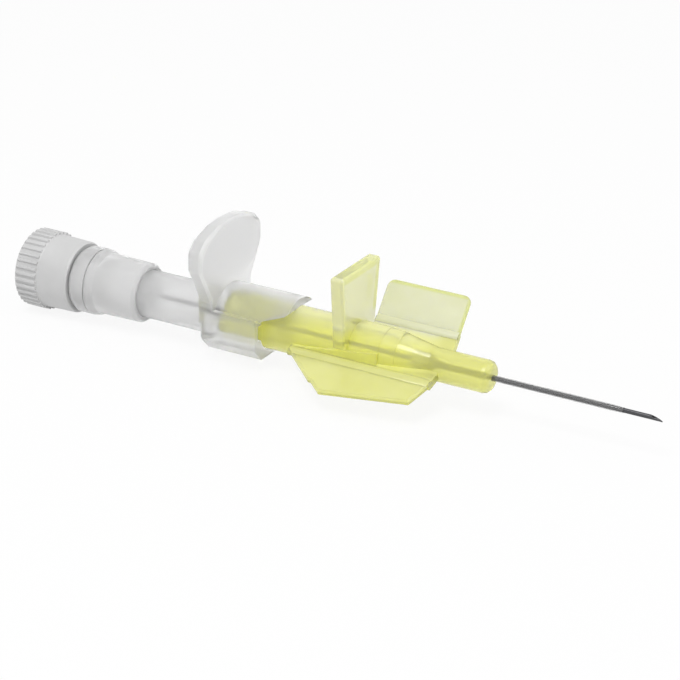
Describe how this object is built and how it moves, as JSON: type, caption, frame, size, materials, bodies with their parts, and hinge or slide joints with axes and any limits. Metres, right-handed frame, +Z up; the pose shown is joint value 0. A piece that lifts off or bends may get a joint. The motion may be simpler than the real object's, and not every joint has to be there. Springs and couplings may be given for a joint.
{
  "type": "intravenous cannula",
  "caption": "Over-the-needle intravenous cannula with winged yellow hub, finger plates, clear needle grip, vented flash chamber and knurled lock cap.",
  "frame": {"origin": "on the needle's axis at the end of the hub's nose, where the catheter tube comes out", "axes": "+X along the needle towards its tip, +Z up the finger plates, -Y towards the lowered wing"},
  "size_m": [0.0797, 0.0154, 0.0161],
  "materials": {
    "needle_steel": "drawn and polished stainless tube",
    "catheter_polymer": "smooth translucent fluoropolymer",
    "bush_steel": "pressed stainless",
    "yellow_hub": "tinted translucent polypropylene, satin moulded",
    "yellow_wing": "tinted translucent polypropylene, satin moulded",
    "pale_wing": "tinted translucent polypropylene, satin moulded",
    "frosted_grip": "clear plastic with a frosted mould surface",
    "adhesive": "cured clear adhesive",
    "frosted_vent": "clear plastic with a frosted mould surface",
    "porous_plug": "sintered porous polymer",
    "white_cap": "opaque white, fine satin"
  },
  "bodies": {
    "grip": {"needle_grip": "frosted_grip", "needle": "needle_steel", "needle_bond": "adhesive"},
    "catheter": {"catheter_hub": "yellow_hub", "catheter_tube": "catheter_polymer", "crimp_bush": "bush_steel"},
    "near_wing": {"wing_near": "yellow_wing"},
    "far_wing": {"wing_far": "pale_wing"},
    "vent": {"vent_housing": "frosted_vent", "vent_filter": "porous_plug"},
    "cap": {"lock_cap": "white_cap"}
  },
  "joints": [
    {"name": "catheter_advance", "type": "slide", "parent": "grip", "child": "catheter", "axis": [1, 0, 0], "range_m": [0, 0.055]},
    {"name": "vent_pull", "type": "slide", "parent": "grip", "child": "vent", "axis": [-1, 0, 0], "range_m": [0, 0.006]},
    {"name": "cap_pull", "type": "slide", "parent": "vent", "child": "cap", "axis": [-1, 0, 0], "range_m": [0, 0.008]},
    {"name": "near_wing_fold", "type": "hinge", "parent": "catheter", "child": "near_wing", "pos_m": [-0.0145, -0.00362, -0.00097], "axis": [-1, 0, 0], "range_deg": [-10, 70], "stiffness_Nm_per_rad": 0.00005},
    {"name": "far_wing_fold", "type": "hinge", "parent": "catheter", "child": "far_wing", "pos_m": [-0.0105, 0.00212, 0.00272], "axis": [1, 0, 0], "range_deg": [-62, 12], "stiffness_Nm_per_rad": 0.00005}
  ]
}
